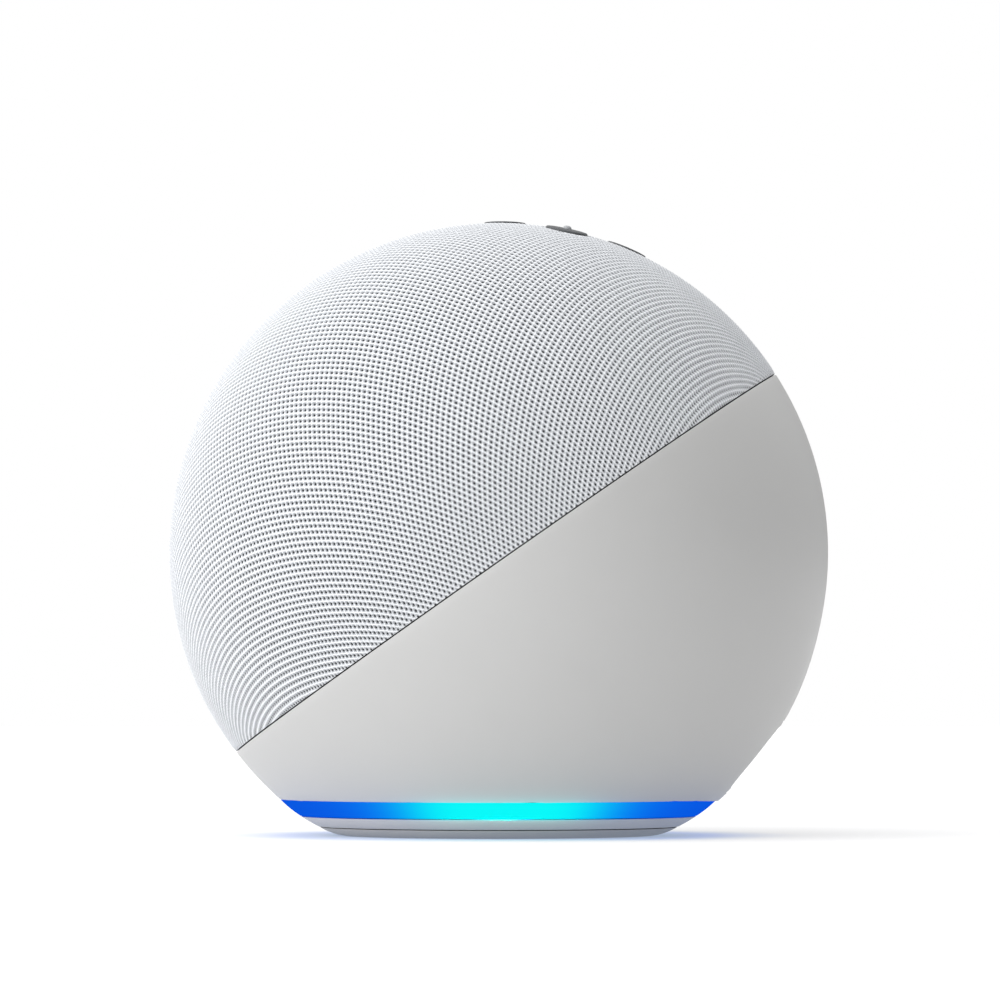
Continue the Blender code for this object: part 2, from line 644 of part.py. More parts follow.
def tweeters():
    for side, axis in TWEETER_FRAMES.items():
        name = f"tweeter_{side}"
        turned(
            f"{name}_motor",
            [(0.0, 56.6), (9.2, 56.6), (9.2, 52.5), (10.6, 52.5), (10.6, 57.0), (12.8, 57.0), (12.8, 49.0),
             (0.0, 49.0)],
            MAGNET, axis, sides=18, ring=False,
        )
        turned(
            f"{name}_faceplate",
            [(14.6, 59.3), (15.2, 58.7), (15.2, 57.3), (12.0, 57.3), (12.0, 58.8), (12.8, 59.3)],
            BLACK, axis, sides=18,
        )
        dome_r = 16.0
        middle, edge = 62.0 - dome_r, math.degrees(math.acos(10.1 / dome_r))
        outer_side = arc(dome_r, 90.0, edge, 3, (0.0, middle)) + [(10.1, 54.4), (9.7, 54.4)]
        inner_side = arc(dome_r - 0.45, edge, 90.0, 3, (0.0, middle))
        turned(f"{name}_dome", on_axis(outer_side + inner_side), SILK, axis, sides=18, ring=False)
        turned(
            f"{name}_surround",
            [(11.7, 58.9), (11.7, 58.5), (11.05, 58.9), (10.4, 58.5), (10.4, 58.9), (11.05, 59.4)],
            BLACK_RUBBER, axis, sides=18,
        )


# ---------------------------------------------------------------- wiring


def ribbon_cable():
    """A flat cable from the main board, behind the chamber and through its deck, to the button board."""
    path = [
        (30.0, 13.3), (30.6, 20.0), (35.0, 30.0), (42.0, 42.0), (48.5, 53.0), (51.5, 63.0), (50.0, 75.0),
        (44.3, 85.8), (35.2, 98.7), (27.0, 110.0), (21.6, 116.0), (20.0, 118.6),
    ]
    left, width = -18.0, 8.0
    shape = bmesh.new()
    points = [shape.verts.new((left * MM, y * MM, z * MM)) for y, z in path]
    edges = [shape.edges.new(pair) for pair in zip(points, points[1:])]
    grown = bmesh.ops.extrude_edge_only(shape, edges=edges)["geom"]
    moved = [item for item in grown if isinstance(item, bmesh.types.BMVert)]
    bmesh.ops.translate(shape, verts=moved, vec=(width * MM, 0, 0))
    made = place("ribbon_cable", mesh_of("ribbon_cable", shape), CABLE, None)
    wall = made.modifiers.new("thickness", "SOLIDIFY")
    wall.thickness = 0.4 * MM
    wall.offset = 0.0


def speaker_lead():
    """A round lead from the main board to the chamber's side."""
    route = [
        (30, 5, 13.9), (30.5, 5.3, 18), (32, 6, 24), (35, 7, 31), (39, 8.5, 38), (43, 10, 45), (46, 11, 51),
        (46.4, 11.3, 54), (45.4, 11.3, 56.4), (43.6, 11.2, 57.2),
    ]
    curve = bpy.data.curves.new("speaker_lead", "CURVE")
    curve.dimensions = "3D"
    curve.bevel_depth = 0.9 * MM
    curve.bevel_resolution = 2
    curve.use_fill_caps = True
    spline = curve.splines.new("POLY")
    spline.points.add(len(route) - 1)
    for point, (x, y, z) in zip(spline.points, route):
        point.co = (x * MM, y * MM, z * MM, 1.0)
    place("speaker_lead", curve, CABLE, None)


fabric_cover()
grille_shell()
seam_gasket()
rear_shell()
button_caps()
button_deck()
foot_and_base()
electronics()
jacks()
acoustic_chamber()
woofer()
tweeters()
ribbon_cable()
speaker_lead()
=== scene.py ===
"""The looks of the smart speaker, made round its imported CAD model.

Sizes are in millimetres and MM turns them into Blender's metres, in the CAD's own frame: the origin
is under the middle of the foot, +Z is up and the front is -Y. Three kinds of frame share the ball's
centre: the dome's, whose Z is the fabric's pole, the button deck's, and one for each button. A height
in one of them is counted along its Z from the ball's centre.
"""

import json
import math

import bmesh
import bpy
import numpy as np
from mathutils import Matrix, Vector


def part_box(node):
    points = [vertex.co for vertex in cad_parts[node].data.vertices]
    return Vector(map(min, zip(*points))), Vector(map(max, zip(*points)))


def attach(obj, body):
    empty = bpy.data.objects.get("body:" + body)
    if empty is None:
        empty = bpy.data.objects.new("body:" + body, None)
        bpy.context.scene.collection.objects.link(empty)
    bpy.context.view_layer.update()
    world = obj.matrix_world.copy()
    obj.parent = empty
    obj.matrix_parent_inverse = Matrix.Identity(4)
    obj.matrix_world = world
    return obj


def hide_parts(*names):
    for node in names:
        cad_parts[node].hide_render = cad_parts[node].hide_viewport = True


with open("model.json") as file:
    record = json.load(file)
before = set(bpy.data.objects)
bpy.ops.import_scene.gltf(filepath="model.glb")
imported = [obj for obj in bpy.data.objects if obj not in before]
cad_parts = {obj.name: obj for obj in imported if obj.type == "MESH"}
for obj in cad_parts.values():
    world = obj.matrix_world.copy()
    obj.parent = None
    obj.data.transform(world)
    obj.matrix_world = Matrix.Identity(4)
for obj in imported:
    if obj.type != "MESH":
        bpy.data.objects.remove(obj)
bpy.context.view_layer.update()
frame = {"nodes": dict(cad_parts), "record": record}

MM = 0.001

# The ball, its seam and its foot, as the CAD has them
BALL_R, BALL_Z = 72.0, 61.8
DOME_TILT = 35.0  # degrees, toward the front
SEAM_H, SEAM_GAP = -2.85, 0.4
SHELL_T = 2.2
FOOT_R, FOOT_FLAT_R, FOOT_IN_R, FOOT_T = 39.0, 33.8, 26.2, 1.8
HOUSING_BOTTOM, HOUSING_TOP, WELL_BOTTOM = 2.0, 4.15, 1.0
HOUSING_BOTTOM_R = 39.4
RING_BOTTOM, RING_TOP, RING_IN_R = 4.35, 7.78, 39.5
SHELL_BOTTOM = 7.85
INSERT_R, INSERT_BORE_R, INSERT_TOP, INSERT_FACE = 5.0, 3.175, 9.0, 1.3

# The socket recess and its two jacks
RECESS_HALF_X, RECESS_BOTTOM, RECESS_TOP, RECESS_BACK = 12.2, 10.7, 23.5, 47.5
RECESS_ROUND = 5.0
POWER_X, POWER_Z, AUDIO_X, AUDIO_Z = 5.2, 17.6, -5.6, 16.2
NOSE_END = 47.8

# The buttons
DECK_TILT, VOLUME_SPREAD, SIDE_SPREAD = -12.0, 10.9, 7.6
BUTTON_R, BUTTON_TOP, BUTTON_HOLE_R = 4.6, 72.45, 4.9
# Each button's own turns about the deck's X and Y, in degrees
BUTTONS = {
    "volume_down": (VOLUME_SPREAD, 0.0),
    "volume_up": (-VOLUME_SPREAD, 0.0),
    "action": (0.0, SIDE_SPREAD),
    "mute": (0.0, -SIDE_SPREAD),
}

SIDES = 180  # steps round the ball


def turn(axis, degrees):
    return Matrix.Rotation(math.radians(degrees), 4, axis)


BALL = Matrix.Translation((0, 0, BALL_Z * MM))
DOME = BALL @ turn("X", DOME_TILT)
DECK = BALL @ turn("X", DECK_TILT)
BUTTON_AXES = {name: DECK @ turn("Y", roll) @ turn("X", tilt) for name, (tilt, roll) in BUTTONS.items()}


# ---------------------------------------------------------------- camera and light

# A long lens a good arm's length away, level with the light ring and looking slightly up
EYE = (1.34, 0.0003, 0.0307)
LENS, SENSOR, EYE_PITCH = 220.5, 36.0, 1.82

camera = bpy.data.objects.new("camera", bpy.data.cameras.new("camera"))
bpy.context.scene.collection.objects.link(camera)
camera.data.lens, camera.data.sensor_width = LENS, SENSOR
camera.location = EYE
camera.rotation_euler = (math.radians(90 + EYE_PITCH), 0, math.radians(90))
bpy.context.scene.camera = camera
bpy.context.scene.view_settings.view_transform = "Standard"


def linear(colour):
    """sRGB hex as linear red, green, blue and alpha."""
    channels = [int(colour[i : i + 2], 16) / 255 for i in (0, 2, 4)]
    return (*[c / 12.92 if c <= 0.04045 else ((c + 0.055) / 1.055) ** 2.4 for c in channels], 1.0)


def add(tree, kind, inputs=(), **settings):
    """Adds a node. inputs holds (socket, value) pairs, and a value may be another node's output."""
    made = tree.nodes.new("ShaderNode" + kind)
    for key, value in settings.items():
        setattr(made, key, value)
    for socket, value in inputs:
        if isinstance(value, bpy.types.NodeSocket):
            tree.links.new(value, made.inputs[socket])
        else:
            made.inputs[socket].default_value = value
    return made


# Each soft box's way round from +X, its height in degrees and its brightness
SOFT_BOXES = ((-90.0, 50.0, 0.70), (-45.0, 35.0, 3.35), (-135.0, 40.0, 1.22), (135.0, 40.0, 1.32))
BOX_FALL = 4.0  # the power of the cosine that a box's light falls off with


def studio():
    """A room that is white to the eye and lit by broad soft boxes, most of them on the front's side."""
    world = bpy.data.worlds.new("studio")
    world.use_nodes = True
    bpy.context.scene.world = world
    tree = world.node_tree
    tree.nodes.clear()
    way = add(tree, "TexCoord").outputs["Generated"]
    level = 0.0
    for around, height, strength in SOFT_BOXES:
        middle = turn("Z", around) @ turn("Y", -height) @ Vector((1, 0, 0))
        facing = add(tree, "VectorMath", [(0, way), (1, middle)], operation="DOT_PRODUCT").outputs["Value"]
        lit = add(tree, "Math", [(0, facing), (1, 0.0)], operation="MAXIMUM").outputs[0]
        lobe = add(tree, "Math", [(0, lit), (1, BOX_FALL)], operation="POWER").outputs[0]
        parts = [(0, lobe), (1, strength), (2, level)]
        level = add(tree, "Math", parts, operation="MULTIPLY_ADD").outputs[0]
    room = add(tree, "Background", [("Strength", level), ("Color", (1, 1, 1, 1))])
    backdrop = add(tree, "Background", [("Strength", 1.0), ("Color", (1, 1, 1, 1))])
    seen = add(tree, "LightPath").outputs["Is Camera Ray"]
    both = add(tree, "MixShader", [(0, seen), (1, room.outputs[0]), (2, backdrop.outputs[0])])
    add(tree, "OutputWorld", [("Surface", both.outputs[0])])


studio()


# ---------------------------------------------------------------- finishes

MATERIALS = {}


def surface(name):
    """A new material, its tree and its Principled shader."""
    made = MATERIALS[name] = bpy.data.materials.new(name)
    made.use_nodes = True
    tree = made.node_tree
    return tree, tree.nodes["Principled BSDF"]


def finish(name, tones, roughness, grain, relief, mottle=6.0, metallic=0.0, **sockets):
    """A finish whose colour drifts between two tones over mottle mm, and whose roughness does the same
    between two values. Its skin is a noise with grains of grain mm that stand relief mm high."""
    tree, shader = surface(name)
    place = add(tree, "TexCoord").outputs["Object"]
    cloud = add(tree, "TexNoise", [("Vector", place), ("Scale", 1 / (mottle * MM)), ("Detail", 3.0)])
    tone = add(
        tree, "Mix", [("Factor", cloud.outputs["Fac"]), ("A", linear(tones[0])), ("B", linear(tones[1]))],
        data_type="RGBA",
    )
    tree.links.new(tone.outputs["Result"], shader.inputs["Base Color"])
    low, high = roughness
    gloss = add(tree, "MapRange", [(0, cloud.outputs["Fac"]), (1, 0.3), (2, 0.7), (3, low), (4, high)])
    tree.links.new(gloss.outputs[0], shader.inputs["Roughness"])
    skin = add(tree, "TexNoise", [("Vector", place), ("Scale", 1 / (grain * MM)), ("Detail", 2.0)])
    bump = add(tree, "Bump", [("Height", skin.outputs["Fac"]), ("Distance", relief * MM), ("Strength", 1.0)])
    tree.links.new(bump.outputs[0], shader.inputs["Normal"])
    shader.inputs["Metallic"].default_value = metallic
    for socket, value in sockets.items():
        shader.inputs[socket.replace("_", " ").title().replace("Ior", "IOR")].default_value = value


# ABS off a lightly spark-eroded mould: an even, nearly white shell with a soft sheen
finish("satin_white_plastic", ("BBBBBA", "BEBEBD"), (0.40, 0.46), 0.35, 0.002, mottle=14.0, ior=1.5)
# the same resin in a warmer grey, for the band under the light ring
finish("warm_grey_plastic", ("C9C4BE", "CFCAC4"), (0.46, 0.54), 0.35, 0.003, mottle=9.0, ior=1.5)
# thermoplastic rubber, moulded matt: no sheen and a slightly dusty skin
finish("grey_rubber", ("BBB6B0", "C2BDB7"), (0.78, 0.9), 0.5, 0.01, mottle=4.0, ior=1.5)
# ABS button caps, a mid grey with a fine satin face
finish("grey_button_plastic", ("434548", "4A4C4F"), (0.54, 0.62), 0.3, 0.003, mottle=3.0, ior=1.5)
# pad-printed ink on the buttons: dense, flat and nearly white
finish("printed_symbol", ("E9EAEB", "F0F1F2"), (0.5, 0.6), 0.2, 0.002, mottle=1.0, ior=1.5)
# the action button's dot: the caps' ABS in a lighter grey
finish("raised_dot", ("9C9EA1", "A6A8AB"), (0.5, 0.6), 0.3, 0.003, mottle=1.0, ior=1.5)
# glass-filled ABS for the parts inside: black, with a dull mould texture
finish("black_plastic", ("141517", "1C1D1F"), (0.48, 0.62), 0.6, 0.02, mottle=8.0, ior=1.5)
# nitrile rubber for the gaskets and surrounds
finish("black_rubber", ("0E0E10", "151517"), (0.72, 0.85), 0.4, 0.01, mottle=5.0, ior=1.52)
# solder mask over glass-epoxy laminate: glossy green with the copper's edges just showing
finish("green_circuit_board", ("174B30", "22663F"), (0.28, 0.4), 0.7, 0.02, mottle=1.6, ior=1.55)
# bright zinc plate on pressed steel and on screws
finish("zinc_plated_steel", ("B9BCC0", "CACCCF"), (0.26, 0.4), 0.25, 0.004, mottle=2.0, metallic=1.0)
# hot-dipped tin on the thin sheet of the radio's can
finish("tinned_sheet", ("B4B6B9", "C4C5C7"), (0.2, 0.36), 0.8, 0.008, mottle=3.0, metallic=1.0)
# pressure die-cast aluminium, grey and faintly grainy
finish("cast_aluminium", ("9C9EA1", "AFB1B4"), (0.42, 0.56), 0.4, 0.02, mottle=3.5, metallic=1.0)
# turned free-cutting brass, bright in the cut
finish("brass", ("B9954A", "CDAA5D"), (0.22, 0.34), 0.12, 0.003, mottle=1.5, metallic=1.0)
# magnets of sintered iron alloy under nickel plate, bright but darker than zinc
finish("nickel_plated_magnet", ("86888A", "96989A"), (0.24, 0.34), 0.5, 0.004, mottle=3.0, metallic=1.0)
# pressed paper pulp, fibrous and dull
finish("pressed_paper", ("1F1F23", "2D2D32"), (0.86, 0.96), 0.7, 0.05, mottle=1.2)
# resin-dipped cotton of the woofer's spider
finish("spider_cloth", ("A97C36", "C49549"), (0.84, 0.94), 0.5, 0.06, mottle=0.9)
# enamelled copper wire, wound tight
finish("copper_winding", ("A2582A", "BF7138"), (0.3, 0.42), 0.3, 0.03, mottle=0.8, metallic=1.0)
# silk domes dipped in a damping coat
finish("coated_silk", ("262629", "35353A"), (0.5, 0.66), 0.3, 0.02, mottle=0.8)
# PVC cable jacket, slightly soft
finish("white_cable", ("D9D9D6", "E4E4E2"), (0.44, 0.56), 0.4, 0.006, mottle=4.0, ior=1.53)

# The knit: how far one hole is from the next, across and along the cloth
STITCH_U, STITCH_V = 1.045, 0.875
# Its dark spots: the place in a stitch, the radius in mm, and the shares of it where the spot starts to
# fade and where it is gone. The hole is one, painted near black partly as the dark grille seen through it
# and partly as the shade inside it, and the other is the gap between two crossing threads, painted grey as
# the shade in it.
HOLE = ((0.0, 0.0), 0.29, (0.5, 1.3))
GAP = ((0.5, -0.08), 0.22, (0.3, 1.4))
WEB_EDGE = (0.33, 0.44)  # where the web gives way to the threads, as a share of a stitch
HAIR = 0.25  # mm from one hair of the yarn to the next, which is coarser than the real filament
YARN_DRIFT = 3.0  # mm over which the yarn's tone drifts
KNIT_RELIEF = 0.25  # mm


def knit():
    """Matt polyester yarn knitted into a net of small diamonds: white threads, a web between them painted
    greyer as the shade in its hollows, and a dark hole in each, painted partly as the dark grille seen
    through it and partly as the shade inside it. The map's whole numbers are the holes' centres."""
    tree, shader = surface("white_knit")
    net = add(tree, "UVMap", uv_map="stitches").outputs[0]
    half = add(tree, "VectorMath", [(0, net), (1, (0.5, 0.5, 0.0))], operation="ADD").outputs[0]
    share = add(tree, "VectorMath", [(0, half)], operation="FRACTION").outputs[0]

    def spot(where, radius, edge):
        """1 inside a round spot of the net, easing to 0 outside."""
        middle = (where[0] + 0.5, where[1] + 0.5, 0.5)
        off = add(tree, "VectorMath", [(0, share), (1, middle)], operation="SUBTRACT").outputs[0]
        ends = [(0, off), (1, (0.5, 0.5, 0.5)), (2, (-0.5, -0.5, -0.5))]
        near = add(tree, "VectorMath", ends, operation="WRAP").outputs[0]
        ways = []
        for way in ((STITCH_U, STITCH_U, 0.0), (STITCH_V, -STITCH_V, 0.0)):
            along = add(tree, "VectorMath", [(0, near), (1, way)], operation="DOT_PRODUCT")
            ways.append(along.outputs["Value"])
        both = add(tree, "CombineXYZ", enumerate(ways)).outputs[0]
        far = add(tree, "VectorMath", [(0, both)], operation="LENGTH").outputs["Value"]
        fade = [(0, far), (1, edge[0] * radius), (2, edge[1] * radius), (3, 1.0), (4, 0.0)]
        return add(tree, "MapRange", fade, interpolation_type="SMOOTHSTEP").outputs[0]

    middle = (0.5, 0.5, 0.0)
    off = add(tree, "VectorMath", [(0, share), (1, middle)], operation="SUBTRACT").outputs[0]
    sizes = add(tree, "VectorMath", [(0, off)], operation="ABSOLUTE").outputs[0]
    sides = add(tree, "SeparateXYZ", [(0, sizes)]).outputs
    outer = add(tree, "Math", [(0, sides[0]), (1, sides[1])], operation="MAXIMUM").outputs[0]
    inside, outside = WEB_EDGE
    fade = [(0, outer), (1, inside), (2, outside), (3, 1.0), (4, 0.0)]
    web = add(tree, "MapRange", fade, interpolation_type="SMOOTHSTEP").outputs[0]
    hole, gap = spot(*HOLE), spot(*GAP)

    place = add(tree, "TexCoord").outputs["Object"]
    drift = add(tree, "TexNoise", [("Vector", place), ("Scale", 1 / (YARN_DRIFT * MM)), ("Detail", 3.0)])
    white = [("Factor", drift.outputs["Fac"]), ("A", linear("E4E6EA")), ("B", linear("F0F2F5"))]
    layers = add(tree, "Mix", white, data_type="RGBA").outputs["Result"]
    twist = add(tree, "TexNoise", [("Vector", place), ("Scale", 1 / (HAIR * MM)), ("Detail", 2.0)])
    hairs = twist.outputs["Fac"]
    tuft = add(tree, "MapRange", [(0, hairs), (1, 0.35), (2, 0.65)]).outputs[0]
    # the web between the threads is painted grey as the shade in the net's hollows, its tone varying with
    # the hairs
    grey = [("Factor", tuft), ("A", linear("A4A7AB")), ("B", linear("C9CCD0"))]
    fill = add(tree, "Mix", grey, data_type="RGBA").outputs["Result"]
    # painted dark spots: grey shade in the gap where threads cross, and near black in each hole, partly the
    # dark grille seen through it and partly painted shade
    shade, black = linear("8C8F93"), linear("08090B")
    for mask, colour, strength in ((web, fill, 1.0), (gap, shade, 0.6), (hole, black, 1.0)):
        part = add(tree, "Math", [(0, mask), (1, strength)], operation="MULTIPLY").outputs[0]
        layer = [("Factor", part), ("A", layers), ("B", colour)]
        layers = add(tree, "Mix", layer, data_type="RGBA").outputs["Result"]
    tree.links.new(layers, shader.inputs["Base Color"])

    height = add(tree, "Math", [(0, hairs), (1, 0.3), (2, 1.0)], operation="MULTIPLY_ADD").outputs[0]
    for mask, rise in ((hole, -1.0), (gap, -0.5), (web, -0.6)):
        height = add(tree, "Math", [(0, mask), (1, rise), (2, height)], operation="MULTIPLY_ADD").outputs[0]
    bump = add(tree, "Bump", [("Height", height), ("Distance", KNIT_RELIEF * MM), ("Strength", 0.7)])
    tree.links.new(bump.outputs[0], shader.inputs["Normal"])
    sheen = (("Roughness", 0.92), ("Sheen Weight", 0.1), ("Sheen Roughness", 0.5), ("IOR", 1.45))
    for socket, value in sheen:
        shader.inputs[socket].default_value = value


knit()

# The light pipe is blue all round and cyan toward one side. From that side's middle each colour channel
# falls to half way at its own angle, green sooner than blue.
LIT_MIDDLE = 2.0  # degrees round from +X
LIT_NEAR, LIT_FAR = linear("08F9F9"), linear("0655E0")
LIT_HALF = (26.0, 26.0, 42.0)  # degrees, for red, green and blue
LIT_FALL = 5.0  # the power of the angle that the channels fall with


def lit_colour(tree, place):
    """The light's colour, which turns with the angle round the foot."""
    middle = turn("Z", LIT_MIDDLE) @ Vector((1, 0, 0))
    flat = add(tree, "VectorMath", [(0, place), (1, (1.0, 1.0, 0.0))], operation="MULTIPLY").outputs[0]
    outward = add(tree, "VectorMath", [(0, flat)], operation="NORMALIZE").outputs[0]
    facing = add(tree, "VectorMath", [(0, outward), (1, middle)], operation="DOT_PRODUCT").outputs["Value"]
    angle = add(tree, "Math", [(0, facing)], operation="ARCCOSINE").outputs[0]
    channels = []
    for near, far, half in zip(LIT_NEAR, LIT_FAR, LIT_HALF):
        share = add(tree, "Math", [(0, angle), (1, math.radians(half))], operation="DIVIDE").outputs[0]
        fall = add(tree, "Math", [(0, share), (1, LIT_FALL)], operation="POWER").outputs[0]
        whole = add(tree, "Math", [(0, fall), (1, 1.0)], operation="ADD").outputs[0]
        more = add(tree, "Math", [(0, near - far), (1, whole)], operation="DIVIDE").outputs[0]
        channels.append(add(tree, "Math", [(0, more), (1, far)], operation="ADD").outputs[0])
    return add(tree, "CombineXYZ", enumerate(channels)).outputs[0]


def light_pipe():
    """Frosted polycarbonate, lit from inside."""
    tree, shader = surface("light_diffuser")
    place = add(tree, "TexCoord").outputs["Object"]
    tree.links.new(lit_colour(tree, place), shader.inputs["Emission Color"])
    shader.inputs["Emission Strength"].default_value = 1.0
    shader.inputs["Base Color"].default_value = linear("04080C")
    frost = add(tree, "TexNoise", [("Vector", place), ("Scale", 1 / (0.5 * MM))]).outputs["Fac"]
    gloss = add(tree, "MapRange", [(0, frost), (3, 0.5), (4, 0.62)]).outputs[0]
    tree.links.new(gloss, shader.inputs["Roughness"])
    shader.inputs["IOR"].default_value = 1.58
    shader.inputs["Specular IOR Level"].default_value = 0.0


light_pipe()


def painted_ring_glow(name, edge, reach, strength):
    """A painted glow of the pipe's light on the plastic beside its bright part: emission in the pipe's
    colour, fading upward or downward from its edge by a factor e every reach mm."""
    tree = MATERIALS[name].node_tree
    shader = tree.nodes["Principled BSDF"]
    place = add(tree, "TexCoord").outputs["Object"]
    height = add(tree, "SeparateXYZ", [(0, place)]).outputs["Z"]
    far = add(
        tree, "Math", [(0, height), (1, -1 / (reach * MM)), (2, edge / reach)], operation="MULTIPLY_ADD"
    ).outputs[0]
    fade = add(tree, "Math", [(0, math.e), (1, far)], operation="POWER").outputs[0]
    colour = lit_colour(tree, place)
    bright = add(tree, "SeparateColor", [(0, colour)]).outputs[1]
    share = add(tree, "Math", [(0, fade), (1, bright)], operation="MULTIPLY").outputs[0]
    glow = add(tree, "VectorMath", [(0, colour), ("Scale", share)], operation="SCALE").outputs[0]
    tree.links.new(glow, shader.inputs["Emission Color"])
    shader.inputs["Emission Strength"].default_value = strength


# painted glow of the light ring on the shell above it and on the band below it
painted_ring_glow("satin_white_plastic", SHELL_BOTTOM, 1.0, 0.28)
painted_ring_glow("warm_grey_plastic", HOUSING_TOP, -0.6, 0.22)

PAINTED_SHADOW_FROM, PAINTED_SHADOW_TO = 40.0, 68.0  # mm from the middle: the painted shadow round the foot and the painted blue of the ring's light in it fade out
PAINTED_SHADOW_TINT = (0.52, 0.64, 0.86, 1.0)


def sweep():
    """An opal table lit from below, whose glow is painted dimmer and blue round the foot, as the foot's
    shadow with the light ring's blue light in it.
    """
    tree, shader = surface("white_sweep")
    shader.inputs["Base Color"].default_value = linear("B3B3B4")
    shader.inputs["Roughness"].default_value = 0.9
    shader.inputs["Emission Strength"].default_value = 0.5
    place = add(tree, "TexCoord").outputs["Object"]
    # painted shadow: near the foot the table's glow is tinted darker and blue
    reach = add(tree, "VectorMath", [(0, place)], operation="LENGTH").outputs["Value"]
    ends = [(0, reach), (1, PAINTED_SHADOW_FROM * MM), (2, PAINTED_SHADOW_TO * MM)]
    clear = add(tree, "MapRange", ends, interpolation_type="SMOOTHSTEP").outputs[0]
    tone = add(tree, "Mix", [("Factor", clear), ("A", PAINTED_SHADOW_TINT), ("B", (1, 1, 1, 1))], data_type="RGBA")
    tree.links.new(tone.outputs["Result"], shader.inputs["Emission Color"])


sweep()


# ---------------------------------------------------------------- modelling by hand


def alone(piece):
    """Only this piece is selected and active, in object mode."""
    if bpy.context.object and bpy.context.object.mode != "OBJECT":
        bpy.ops.object.mode_set(mode="OBJECT")
    bpy.ops.object.select_all(action="DESELECT")
    if piece:
        piece.select_set(True)
        bpy.context.view_layer.objects.active = piece
    return piece


def primitive(kind, name, **sizes):
    """A new primitive, its place already in its mesh."""
    alone(None)
    getattr(bpy.ops.mesh, f"primitive_{kind}_add")(**sizes)
    made = bpy.context.object
    made.name = made.data.name = name
    bpy.ops.object.transform_apply(location=True, rotation=True, scale=True)
    return made


def modify(piece, kind, **settings):
    """Adds a modifier and applies it."""
    alone(piece)
    bpy.ops.object.modifier_add(type=kind)
    made = piece.modifiers[-1]
    for key, value in settings.items():
        setattr(made, key, value)
    bpy.ops.object.modifier_apply(modifier=made.name)
    return piece


def turned(name, profile, where=None, sides=SIDES, solid=False):
    """A piece turned about its Z: a circle, extruded and scaled from one (radius, height) to the next.
    A solid starts from a filled circle. A profile that ends where it began makes a closed ring."""
    (radius, height), *rest = profile
    made = primitive(
        "circle", name, vertices=sides, radius=radius * MM, location=(0, 0, height * MM),
        fill_type="NGON" if solid else "NOTHING",
    )
    bpy.ops.object.mode_set(mode="EDIT")
    bpy.ops.mesh.select_all(action="SELECT")
    for next_radius, next_height in rest:
        rise = (0, 0, (next_height - height) * MM)
        bpy.ops.mesh.extrude_region_move(TRANSFORM_OT_translate={"value": rise})
        scale = next_radius / radius
        bpy.ops.transform.resize(value=(scale, scale, 1), center_override=(0, 0, next_height * MM))
        radius, height = next_radius, next_height
    bpy.ops.mesh.select_all(action="SELECT")
    bpy.ops.mesh.remove_doubles(threshold=1e-6)
    bpy.ops.mesh.normals_make_consistent(inside=False)
    bpy.ops.object.mode_set(mode="OBJECT")
    return put(made, where)


def put(piece, where):
    """Moves a piece's mesh by a matrix, leaving its object at the origin."""
    if where is not None:
        alone(piece)
        piece.matrix_world = where
        bpy.ops.object.transform_apply(location=True, rotation=True, scale=True)
    return piece


def bisect(piece, point, normal, keep):
    """Cuts a piece by a plane and keeps one side, leaving the cut open."""
    alone(piece)
    bpy.ops.object.mode_set(mode="EDIT")
    bpy.ops.mesh.select_all(action="SELECT")
    bpy.ops.mesh.bisect(
        plane_co=point, plane_no=normal, clear_inner=keep == "outer", clear_outer=keep == "inner"
    )
    bpy.ops.object.mode_set(mode="OBJECT")
    return piece


def rounded(piece, radius, segments=3, angle=35.0):
    """Rounds every edge sharper than the angle."""
    return modify(
        piece, "BEVEL", width=radius * MM, segments=segments, limit_method="ANGLE",
        angle_limit=math.radians(angle), use_clamp_overlap=True,
    )


def cut(piece, *cutters):
    for cutter in cutters:
        modify(piece, "BOOLEAN", object=cutter, operation="DIFFERENCE", solver="EXACT")
        bpy.data.objects.remove(cutter)
    return piece


def join(piece, *others):
    alone(piece)
    for other in others:
        other.select_set(True)
    bpy.ops.object.join()
    return piece


def dressed(piece, material, body="root", replaces=(), angle=35.0, smooth=True):
    """Gives a finished piece its material and its body, and hides the CAD nodes it stands for."""
    alone(piece)
    piece.data.materials.clear()
    piece.data.materials.append(MATERIALS[material])
    if smooth:
        bpy.ops.object.shade_smooth_by_angle(angle=math.radians(angle))
    if replaces:
        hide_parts(*replaces)
    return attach(piece, body)


def on_ball(height, radius=BALL_R):
    """The ball's radius at a height over the table."""
    return math.sqrt(radius**2 - (height - BALL_Z) ** 2)


def ball_band(bottom, top, steps, radius=BALL_R):
    """Profile points up the ball's side between two heights over the table."""
    heights = [bottom + (top - bottom) * i / steps for i in range(steps + 1)]
    return [(on_ball(z, radius), z) for z in heights]


# ---------------------------------------------------------------- floor

floor = primitive("plane", "floor", size=9.0)
floor.data.materials.append(MATERIALS["white_sweep"])


# ---------------------------------------------------------------- the knitted dome

HOLE_DEPTH, KNOT_RISE = 0.4, 0.08  # how far the net sinks at a hole and rises at a knot
HOLE_OFFSET = (0.22, 0.106)  # where the hole beside the dome's pole is, in stitches
RIM_H = SEAM_H + SEAM_GAP / 2  # where the cloth turns in at the seam
RIM_FADE, RIM_SINK = 1.2, 0.12  # toward the seam the net flattens over so much cloth and sinks so far
CLOTH_REACH = math.acos(RIM_H / BALL_R) * BALL_R  # from the pole to the seam over the ball
SPARE = 2.0  # the net is made so much larger and then cut at the seam
HEM_WAY = 8.0  # a hem within this of a button's axis is that button's
SEAM_TUCKS = ((-0.05, -0.07), (-0.25, -0.12), (-0.7, -0.1))
BUTTON_TUCKS = ((-0.08, -0.06), (-0.1, -0.3), (-0.1, -0.75))


